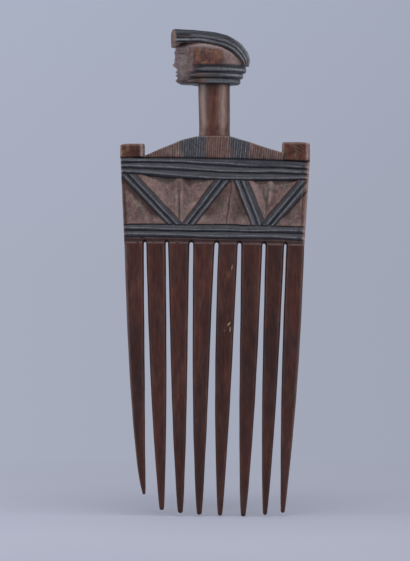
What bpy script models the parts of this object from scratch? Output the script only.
"""A carved wooden hair comb: eight long teeth, a plate with carved bands and a zigzag, a
saddle-shaped shoulder, a round neck, and a small head with a ridged crest of hair.

The real comb is carved from one billet. Each carved region is a closed solid of its own here,
and a seam of SEAM_GAP parts it from its neighbours along a line that the carver cut.

Lengths are in metres and Z is up. The comb stands on its teeth, its carved face looks along -Y,
and the head faces -X. The origin is on the ground, under the middle of the comb's width.
"""

import math

import bmesh
import bpy
from mathutils import Vector
from mathutils.geometry import delaunay_2d_cdt

# Teeth: width of a full tooth and of a full slot at the roots, and each one's share of it
TOOTH_LENGTH = 0.1235
TOOTH_WIDTH = 0.0092
TOOTH_WIDTH_SHARES = (0.945, 0.955, 1.055, 1.065, 0.955, 1.045, 0.92, 0.865)
SLOT_WIDTH = 0.00144
SLOT_WIDTH_SHARES = (0.79, 0.71, 1.13, 1.13, 1.03, 0.96, 0.71)
TOOTH_ROOT_DEPTH = 0.0092
TOOTH_TIP_DEPTH = 0.0022
TOOTH_CHAMFER_SHARE = 0.26
TIP_LEAN = 0.0045
TIP_LEAN_SHARES = (0.82, 0.58, 0.16, -0.47, -0.82, -0.87, -1.0, -1.27)
TIP_RISE_SHARES = (0.080, 0.023, 0.012, 0.006, 0.003, 0.0, 0.0055, 0.013)
TOOTH_BOW = 0.0008
TOOTH_BOW_SHARES = (-0.69, -0.25, -0.2, -0.5, -0.5, 0.2, 0.0, 0.37)
TOOTH_FULLNESS_SHARES = (0.02, 0.05, -0.06, -0.06, 0.06, -0.01, 0.01, 0.14)
# The first tooth is worn at its tip, which is left of its point and hooks to the right
TIP_HOOK = 0.00085
TIP_HOOK_SHARES = (1.0, 0.0, 0.0, 0.0, 0.0, 0.0, 0.0, 0.0)
TIP_HOOK_POWER = 12
# Place along a tooth, from root to tip, and its width there
TAPER_SHARES = (
    (0.0, 1.0),
    (0.11, 0.965),
    (0.21, 0.92),
    (0.32, 0.88),
    (0.43, 0.83),
    (0.58, 0.74),
    (0.72, 0.62),
    (0.83, 0.49),
    (0.91, 0.38),
    (0.965, 0.26),
    (0.99, 0.16),
    (1.0, 0.09),
)

# Plate: it is as wide as the row of teeth at its foot and flares towards its top
PLATE_HEIGHT = 0.0381
PLATE_THICKNESS = 0.0106
PLATE_FLARE_LEFT = 0.0015
PLATE_FLARE_RIGHT = 0.0022
EDGE_BEVEL = 0.0013
EDGE_BEVEL_DEPTH = 0.0008
SEAM_GAP = 0.0003
GROOVE_DEPTH = 0.0009
RIDGE_DEPTH = 0.00015
FIELD_DEPTH = 0.0005
# Height above the plate's foot at its left edge, middle and right edge
FOOT_SHARES = (0.010, 0.002, -0.021)
TOP_GROOVE_SHARES = (1.005, 1.0, 0.958)
BAND_LINE_SHARES = {
    "ridge_1": (0.974, 0.963, 0.916),
    "groove_1": (0.945, 0.927, 0.890),
    "ridge_2": (0.913, 0.887, 0.850),
    "groove_2": (0.887, 0.848, 0.822),
    "ridge_3": (0.850, 0.806, 0.782),
    "zigzag_top": (0.827, 0.772, 0.756),
    "zigzag_foot": (0.210, 0.213, 0.192),
    "ridge_4": (0.181, 0.176, 0.152),
    "groove_4": (0.152, 0.136, 0.113),
    "ridge_5": (0.115, 0.097, 0.071),
    "groove_5": (0.087, 0.066, 0.045),
}
# Each zigzag bar: left edge, middle groove and right edge, as shares (across the plate, up the
# zigzag) of the line's upper and lower end
BAR_SHARES = (
    (((0.018, 0.97), (0.266, 0)), ((0.035, 1), (0.286, 0)), ((0.083, 1), (0.316, 0))),
    (((0.491, 1), (0.3225, 0)), ((0.526, 1), (0.360, 0)), ((0.588, 1), (0.396, 0))),
    (((0.602, 1), (0.715, 0)), ((0.638, 1), (0.740, 0)), ((0.677, 1), (0.770, 0))),
    (((0.950, 1), (0.7765, 0)), ((0.975, 0.96), (0.803, 0)), ((0.980, 0.82), (0.836, 0))),
)
# Corners of the five sunk fields between the bars
FIELD_SHARES = (
    ((0.020, 0.90), (0.020, 0.01), (0.255, 0.01)),
    ((0.095, 0.99), (0.319, 0.03), (0.480, 0.99)),
    ((0.595, 0.97), (0.405, 0.01), (0.705, 0.01)),
    ((0.690, 0.99), (0.773, 0.03), (0.935, 0.99)),
    ((0.978, 0.76), (0.850, 0.01), (0.978, 0.01)),
)
FIELD_INSET_SHARE = 0.72

# Corner blocks and the shoulder between them, above the plate's top groove
BLOCK_WIDTH = 0.0106
LEFT_BLOCK_HEIGHT = 0.0067
RIGHT_BLOCK_HEIGHT = 0.0083
RIGHT_BLOCK_WIDTH_SHARE = 1.14
SHOULDER_RISE = 0.0099
SHOULDER_THICKNESS = 0.0118
# Outline of the saddle from a block to the neck: across, then up
LEFT_SADDLE_SHARES = ((0.0, 0.11), (0.23, 0.385), (0.47, 0.612), (0.67, 0.84), (0.92, 0.977))
RIGHT_SADDLE_SHARES = ((0.21, 0.84), (0.36, 0.749), (0.51, 0.612), (0.81, 0.384), (1.0, 0.27))

# Neck
NECK_WIDTH = 0.0140
NECK_DEPTH = 0.0128
NECK_LENGTH = 0.0235
NECK_CENTRE_X = -0.0003
NECK_WAIST_SHARE = 0.97
NECK_SIDES = 24

# Head, with its crest and hair band
HEAD_LENGTH = 0.0355
HEAD_HEIGHT = 0.0250
HEAD_THICKNESS = 0.0210
HEAD_RIM = 0.0012
HEAD_ROUNDING = 0.0090
FACE_OVERHANG = 0.0124
HEAD_FILL_STEP = 0.0022
CREST_GROOVE_DEPTH = 0.0009
CREST_RIDGES = 3
# Crest, as shares (along the head from the front, up from the chin)
CREST_OUTER_SHARES = (
    (0.006, 0.675),
    (0.012, 0.955),
    (0.035, 0.995),
    (0.288, 0.990),
    (0.544, 0.951),
    (0.714, 0.890),
    (0.884, 0.733),
    (0.969, 0.577),
    (1.000, 0.432),
    (0.982, 0.333),
)
CREST_INNER_SHARES = (
    (0.090, 0.690),
    (0.140, 0.725),
    (0.175, 0.755),
    (0.347, 0.757),
    (0.549, 0.719),
    (0.660, 0.675),
    (0.780, 0.580),
    (0.860, 0.480),
    (0.905, 0.400),
    (0.928, 0.335),
)
# A plain face in profile, from the hairline to the underside of the jaw
FACE_SHARES = (
    (0.045, 0.655),
    (0.030, 0.570),
    (0.062, 0.500),
    (0.008, 0.320),
    (0.055, 0.280),
    (0.036, 0.222),
    (0.062, 0.187),
    (0.046, 0.150),
    (0.070, 0.112),
    (0.048, 0.055),
    (0.085, 0.0),
)
BAND_FRONT_SHARE = 0.285
BAND_TOP_SHARE = 0.322
BAND_LEVEL_SHARES = (0.322, 0.218, 0.115, 0.0)
BAND_END_SHARES = (0.952, 0.921, 0.880)
BAND_NOTCH_SHARE = 0.045

# Wood colours, as linear RGB
TOOTH_COLOUR = (0.070, 0.034, 0.029)
BLOCK_COLOUR = (0.090, 0.042, 0.032)
PLATE_COLOUR = (0.110, 0.085, 0.080)
SHOULDER_COLOUR = (0.095, 0.070, 0.066)
NECK_COLOUR = (0.120, 0.070, 0.058)
HEAD_COLOUR = (0.150, 0.082, 0.062)
HAIR_COLOUR = (0.060, 0.062, 0.065)
WOOD_ROUGHNESS = 0.45

# Edges that meet at more than this angle stay sharp, and carved points closer than this are one
SHARP_ANGLE = math.radians(40)
SAME_POINT = 1e-6


def lerp(start, end, share):
    return start + (end - start) * share


FOOT_WIDTH = TOOTH_WIDTH * sum(TOOTH_WIDTH_SHARES) + SLOT_WIDTH * sum(SLOT_WIDTH_SHARES)
TOP_WIDTH = FOOT_WIDTH + PLATE_FLARE_LEFT + PLATE_FLARE_RIGHT
FACE_Y = -PLATE_THICKNESS / 2
SHOULDER_TOP = TOOTH_LENGTH + PLATE_HEIGHT + SHOULDER_RISE
HEAD_FOOT = SHOULDER_TOP + NECK_LENGTH
HEAD_FRONT = NECK_CENTRE_X - NECK_WIDTH / 2 - FACE_OVERHANG


def left_edge(z):
    up = (z - TOOTH_LENGTH) / PLATE_HEIGHT
    return lerp(-TOP_WIDTH / 2 + PLATE_FLARE_LEFT, -TOP_WIDTH / 2, up)


def right_edge(z):
    up = (z - TOOTH_LENGTH) / PLATE_HEIGHT
    return lerp(TOP_WIDTH / 2 - PLATE_FLARE_RIGHT, TOP_WIDTH / 2, up)


def level(shares, across):
    """Height of a carved line that passes through three heights: left edge, middle, right edge."""
    left, middle, right = shares
    if across < 0.5:
        share = lerp(left, middle, across * 2)
    else:
        share = lerp(middle, right, across * 2 - 1)
    return TOOTH_LENGTH + PLATE_HEIGHT * share


def level_at_x(shares, x):
    return level(shares, (x + TOP_WIDTH / 2) / TOP_WIDTH)


def wood(name, colour):
    material = bpy.data.materials.new(name)
    material.use_nodes = True
    shader = material.node_tree.nodes["Principled BSDF"]
    shader.inputs["Base Color"].default_value = (*colour, 1)
    shader.inputs["Roughness"].default_value = WOOD_ROUGHNESS
    shader.inputs["Metallic"].default_value = 0
    return material


def add_object(name, shape, colour, smooth=False):
    bmesh.ops.recalc_face_normals(shape, faces=shape.faces)
    mesh = bpy.data.meshes.new(name)
    shape.to_mesh(mesh)
    shape.free()
    mesh.materials.append(wood(name, colour))
    if smooth:
        mesh.shade_smooth()
        mesh.set_sharp_from_angle(angle=SHARP_ANGLE)
    obj = bpy.data.objects.new(name, mesh)
    bpy.context.scene.collection.objects.link(obj)
    return obj


def loft(name, rings, colour):
    """A closed solid through rings of equally many points, with both ends capped."""
    shape = bmesh.new()
    loops = [[shape.verts.new(point) for point in ring] for ring in rings]
    count = len(loops[0])
    for low, high in zip(loops, loops[1:]):
        for i in range(count):
            j = (i + 1) % count
            shape.faces.new((low[i], low[j], high[j], high[i]))
    shape.faces.new(loops[0])
    shape.faces.new(loops[-1])
    return add_object(name, shape, colour, smooth=True)


def carved_slab(name, outline, creases, colour, flat_back=None):
    """A closed solid over an outline whose front is pleated along creases.

    Outline and creases are lists of (x, y, z) points of the front. The back is the front's
    mirror image, or the plane y = flat_back.
    """
    points = list(outline)
    edges = [(i, (i + 1) % len(outline)) for i in range(len(outline))]
    for crease in creases:
        first = len(points)
        points += crease
        edges += [(first + i, first + i + 1) for i in range(len(crease) - 1)]
    flat_points = [Vector((x, z)) for x, _, z in points]
    flat, _, triangles, sources, _, _ = delaunay_2d_cdt(flat_points, edges, [], 1, SAME_POINT)
    used = sorted({i for triangle in triangles for i in triangle})
    shape = bmesh.new()
    front = {}
    back = {}
    for i in used:
        y = points[sources[i][0]][1]
        front[i] = shape.verts.new((flat[i].x, y, flat[i].y))
        back[i] = shape.verts.new((flat[i].x, -y, flat[i].y)) if flat_back is None else None
    rim = set()
    for triangle in triangles:
        shape.faces.new([front[i] for i in triangle])
        if flat_back is None:
            shape.faces.new([back[i] for i in reversed(triangle)])
        for i, j in zip(triangle, (*triangle[1:], triangle[0])):
            rim ^= {(min(i, j), max(i, j))}
    if flat_back is not None:
        for i in {i for edge in rim for i in edge}:
            back[i] = shape.verts.new((flat[i].x, flat_back, flat[i].y))
        bottom = [shape.edges.new((back[i], back[j])) for i, j in rim]
        bmesh.ops.contextual_create(shape, geom=bottom)
    for i, j in rim:
        shape.faces.new((front[i], front[j], back[j], back[i]))
    return add_object(name, shape, colour)


def raised(outline, y):
    return [(x, y, z) for x, z in outline]


def inset(outline, distance):
    """The convex outline moved inwards by a distance, corner by corner."""
    moved = []
    count = len(outline)
    for i in range(count):
        here = Vector(outline[i])
        before = (here - Vector(outline[i - 1])).normalized()
        after = (Vector(outline[(i + 1) % count]) - here).normalized()
        side = Vector((before.y + after.y, -before.x - after.x)).normalized()
        reach = distance / max(side.dot(Vector((after.y, -after.x))), 0.5)
        moved.append(tuple(here + side * reach))
    return moved


def tooth(number, root_left, width):
    index = number - 1
    root_x = root_left + width / 2
    lean = TIP_LEAN * TIP_LEAN_SHARES[index]
    bow = TOOTH_BOW * TOOTH_BOW_SHARES[index]
    hook = TIP_HOOK * TIP_HOOK_SHARES[index]
    tip_z = TOOTH_LENGTH * TIP_RISE_SHARES[index]
    root_z = level_at_x(FOOT_SHARES, root_x) - SEAM_GAP
    rings = []
    for along, width_share in TAPER_SHARES:
        bulge = 4 * along * (1 - along)
        x = root_x + lean * along + bow * bulge + hook * along**TIP_HOOK_POWER
        z = lerp(root_z, tip_z, along)
        half_width = width * width_share * (1 + TOOTH_FULLNESS_SHARES[index] * bulge) / 2
        half_depth = lerp(TOOTH_ROOT_DEPTH, TOOTH_TIP_DEPTH, along) / 2
        chamfer = TOOTH_CHAMFER_SHARE * min(half_width, half_depth) * 2
        corner_x = half_width - chamfer
        corner_y = half_depth - chamfer
        section = (
            (-half_width, -corner_y),
            (-corner_x, -half_depth),
            (corner_x, -half_depth),
            (half_width, -corner_y),
            (half_width, corner_y),
            (corner_x, half_depth),
            (-corner_x, half_depth),
            (-half_width, corner_y),
        )
        ring = [(x + dx, dy, z) for dx, dy in section]
        if along == 0:
            ring = [(px, py, level_at_x(FOOT_SHARES, px) - SEAM_GAP) for px, py, _ in ring]
        rings.append(ring)
    return loft(f"tooth_{number}", rings, TOOTH_COLOUR)


def teeth():
    left = left_edge(TOOTH_LENGTH)
    slots = (*SLOT_WIDTH_SHARES, 0)
    for number, (tooth_share, slot_share) in enumerate(zip(TOOTH_WIDTH_SHARES, slots), 1):
        width = TOOTH_WIDTH * tooth_share
        tooth(number, left, width)
        left += width + SLOT_WIDTH * slot_share


def on_plate(across, z, depth):
    """A point on the carved face: across its width inside the bevels, at a height, sunk by depth."""
    x = lerp(left_edge(z) + EDGE_BEVEL, right_edge(z) - EDGE_BEVEL, across)
    return (x, FACE_Y + depth, z)


def in_zigzag(across, up, depth):
    foot = level(BAND_LINE_SHARES["zigzag_foot"], across)
    top = level(BAND_LINE_SHARES["zigzag_top"], across)
    return on_plate(across, lerp(foot, top, up), depth)


def zigzag_bar(edges):
    """Creases of one bar: sunk edges and middle groove, with a ridge between each two."""
    creases = [[in_zigzag(*end, GROOVE_DEPTH) for end in edge] for edge in edges]
    for left, right in zip(edges, edges[1:]):
        ridge = []
        for (across_0, up_0), (across_1, up_1) in zip(left, right):
            ridge.append(in_zigzag((across_0 + across_1) / 2, (up_0 + up_1) / 2, RIDGE_DEPTH))
        creases.append(ridge)
    return creases


def zigzag_field(corners):
    """A level patch inside three corners."""
    middle_across = sum(across for across, _ in corners) / len(corners)
    middle_up = sum(up for _, up in corners) / len(corners)
    ring = []
    for across, up in (*corners, corners[0]):
        inner_across = lerp(middle_across, across, FIELD_INSET_SHARE)
        inner_up = lerp(middle_up, up, FIELD_INSET_SHARE)
        ring.append(in_zigzag(inner_across, inner_up, FIELD_DEPTH))
    return ring


def carved_plate():
    stations = (0, 0.5, 1)
    foot = [(across, level(FOOT_SHARES, across)) for across in stations]
    top = [(across, level(TOP_GROOVE_SHARES, across) - SEAM_GAP / 2) for across in stations]
    outline = []
    for across, z in foot + top[::-1]:
        x = lerp(left_edge(z), right_edge(z), across)
        outline.append((x, FACE_Y + (EDGE_BEVEL_DEPTH if across != 0.5 else RIDGE_DEPTH), z))
    creases = []
    left_ends = []
    right_ends = []
    for name, shares in BAND_LINE_SHARES.items():
        depth = RIDGE_DEPTH if name.startswith("ridge") else GROOVE_DEPTH
        line = [on_plate(across, level(shares, across), depth) for across in stations]
        creases.append(line)
        left_ends.append(line[0])
        right_ends.append(line[-1])
    creases += [left_ends, right_ends]
    for edges in BAR_SHARES:
        creases += zigzag_bar(edges)
    for corners in FIELD_SHARES:
        creases.append(zigzag_field(corners))
    return carved_slab("carved_plate", outline, creases, PLATE_COLOUR, PLATE_THICKNESS / 2)


def block_limits():
    """Inner edges of the left and right corner blocks."""
    left = -TOP_WIDTH / 2 + BLOCK_WIDTH
    right = TOP_WIDTH / 2 - BLOCK_WIDTH * RIGHT_BLOCK_WIDTH_SHARE
    return left, right


def seam_height(x):
    return level_at_x(TOP_GROOVE_SHARES, x) + SEAM_GAP / 2


def corner_block(name, left, right, height):
    low_left = seam_height(left)
    low_right = seam_height(right)
    top = max(low_left, low_right) + height
    outline = [(left, low_left), (left, top), (right, top), (right, low_right)]
    face = -PLATE_THICKNESS / 2
    crease = raised(inset(outline, EDGE_BEVEL_DEPTH), face)
    crease.append(crease[0])
    edge = raised(outline, face + EDGE_BEVEL_DEPTH)
    return carved_slab(name, edge, [crease], BLOCK_COLOUR)


def corner_blocks():
    left, right = block_limits()
    corner_block("left_corner_block", -TOP_WIDTH / 2, left, LEFT_BLOCK_HEIGHT)
    corner_block("right_corner_block", right, TOP_WIDTH / 2, RIGHT_BLOCK_HEIGHT)


def shoulder():
    """The saddle: it climbs from each block to the neck's foot."""
    block_left, block_right = block_limits()
    left = block_left + SEAM_GAP
    right = block_right - SEAM_GAP
    neck_left = NECK_CENTRE_X - NECK_WIDTH / 2
    neck_right = NECK_CENTRE_X + NECK_WIDTH / 2
    base = TOOTH_LENGTH + PLATE_HEIGHT
    curve = []
    for across, up in LEFT_SADDLE_SHARES:
        curve.append((lerp(left, neck_left, across), base + SHOULDER_RISE * up))
    curve += [(neck_left, SHOULDER_TOP), (neck_right, SHOULDER_TOP)]
    for across, up in RIGHT_SADDLE_SHARES:
        curve.append((lerp(neck_right, right, across), base + SHOULDER_RISE * up))
    foot = [(x, seam_height(x)) for x in (right, 0, left)]
    brow = [(x, z - min(EDGE_BEVEL, (z - seam_height(x)) / 2)) for x, z in curve]
    face = -SHOULDER_THICKNESS / 2
    edge = raised(curve + foot, face + EDGE_BEVEL_DEPTH)
    return carved_slab("shoulder", edge, [raised(brow, face)], SHOULDER_COLOUR)


def neck():
    low = SHOULDER_TOP + SEAM_GAP
    high = HEAD_FOOT - SEAM_GAP
    rings = []
    for up, size in ((0, 1), (0.12, NECK_WAIST_SHARE), (0.88, NECK_WAIST_SHARE), (1, 1)):
        ring = []
        for side in range(NECK_SIDES):
            angle = math.tau * side / NECK_SIDES
            x = NECK_CENTRE_X + math.cos(angle) * NECK_WIDTH / 2 * size
            y = math.sin(angle) * NECK_DEPTH / 2 * size
            ring.append((x, y, lerp(low, high, up)))
        rings.append(ring)
    return loft("neck", rings, NECK_COLOUR)


def on_head(along, up):
    return (HEAD_FRONT + HEAD_LENGTH * along, HEAD_FOOT + HEAD_HEIGHT * up)


def silhouette():
    """The head's outline in profile, from the jaw over the crest to the foot of the hair band."""
    shares = FACE_SHARES[::-1] + CREST_OUTER_SHARES
    points = [on_head(along, up) for along, up in shares]
    for step, end in enumerate(BAND_END_SHARES):
        points.append(on_head(end, BAND_LEVEL_SHARES[step]))
        points.append(on_head(end, BAND_LEVEL_SHARES[step + 1]))
    return [Vector(point) for point in points]


def distance_to(path, x, z):
    point = Vector((x, z))
    nearest = math.inf
    for start, end in zip(path, path[1:]):
        run = end - start
        share = max(0, min(1, (point - start).dot(run) / run.length_squared))
        nearest = min(nearest, (start + run * share - point).length)
    return nearest


def head_y(path, x, z):
    """The head's front face: thin at its outline, and swelling to its full thickness inside."""
    inward = min(1, distance_to(path, x, z) / HEAD_ROUNDING)
    swell = math.sqrt(1 - (1 - inward) ** 2)
    return -lerp(HEAD_RIM, HEAD_THICKNESS / 2, swell)


def swollen(path, outline, depth=0):
    return [(x, head_y(path, x, z) + depth, z) for x, z in outline]


def shifted(points, gap):
    """The crest's inner line moved down and forward by a gap."""
    moved = []
    for i, point in enumerate(points):
        before = Vector(points[max(i - 1, 0)])
        after = Vector(points[min(i + 1, len(points) - 1)])
        run = (after - before).normalized()
        moved.append((point[0] + run.y * gap, point[1] - run.x * gap))
    return moved


def crest(path):
    outer = [on_head(*share) for share in CREST_OUTER_SHARES]
    inner = [on_head(*share) for share in CREST_INNER_SHARES]
    creases = []
    for step in range(1, 2 * CREST_RIDGES):
        share = step / (2 * CREST_RIDGES)
        depth = CREST_GROOVE_DEPTH if step % 2 == 0 else 0
        line = []
        for (x0, z0), (x1, z1) in zip(outer, inner):
            line.append((lerp(x0, x1, share), lerp(z0, z1, share)))
        creases.append(swollen(path, line, depth))
    return carved_slab("crest", swollen(path, outer + inner[::-1]), creases, HAIR_COLOUR)


def hair_band(path):
    """Three rolls of hair round the back of the head, each shorter than the one above."""
    front = BAND_FRONT_SHARE
    shares = [(front, 0), (front, BAND_TOP_SHARE)]
    for step, end in enumerate(BAND_END_SHARES):
        shares.append((end, BAND_LEVEL_SHARES[step]))
        shares.append((end, BAND_LEVEL_SHARES[step + 1]))
    outline = [on_head(*share) for share in shares]
    creases = []
    for low, high, end in zip(BAND_LEVEL_SHARES[1:], BAND_LEVEL_SHARES, BAND_END_SHARES):
        middle = lerp(front, end, 0.5)
        ridge = [on_head(along, (low + high) / 2) for along in (front, middle, end)]
        creases.append(swollen(path, ridge))
        if low > 0:
            notch = end - BAND_NOTCH_SHARE
            groove = [on_head(along, low) for along in (front, middle, notch)]
            creases.append(swollen(path, groove, CREST_GROOVE_DEPTH))
    return carved_slab("hair_band", swollen(path, outline), creases, HAIR_COLOUR)


def head(path):
    """Face, cheek and the smooth side under the crest."""
    gap_along = SEAM_GAP / HEAD_LENGTH
    gap_up = SEAM_GAP / HEAD_HEIGHT
    hairline = shifted([on_head(*share) for share in CREST_INNER_SHARES], SEAM_GAP)
    face = [on_head(*share) for share in FACE_SHARES]
    band_corner = on_head(BAND_FRONT_SHARE - gap_along, BAND_TOP_SHARE + gap_up)
    band_end = (hairline[-1][0], band_corner[1])
    underside = on_head(BAND_FRONT_SHARE - gap_along, 0)
    outline = face[::-1] + hairline[:-1] + [band_end, band_corner, underside]
    corners = [Vector(point) for point in outline]
    ring = corners + corners[:1]
    columns = int(HEAD_LENGTH / HEAD_FILL_STEP)
    rows = int(HEAD_HEIGHT / HEAD_FILL_STEP)
    fill = []
    for column in range(columns):
        for row in range(rows):
            x, z = on_head((column + 0.5) / columns, (row + 0.5) / rows)
            if distance_to(ring, x, z) > HEAD_FILL_STEP / 2:
                fill.append(swollen(path, [(x, z)]))
    return carved_slab("head", swollen(path, outline), fill, HEAD_COLOUR)


def clear_scene():
    for obj in list(bpy.data.objects):
        bpy.data.objects.remove(obj)


clear_scene()
teeth()
carved_plate()
corner_blocks()
shoulder()
neck()
HEAD_PATH = silhouette()
crest(HEAD_PATH)
hair_band(HEAD_PATH)
head(HEAD_PATH)
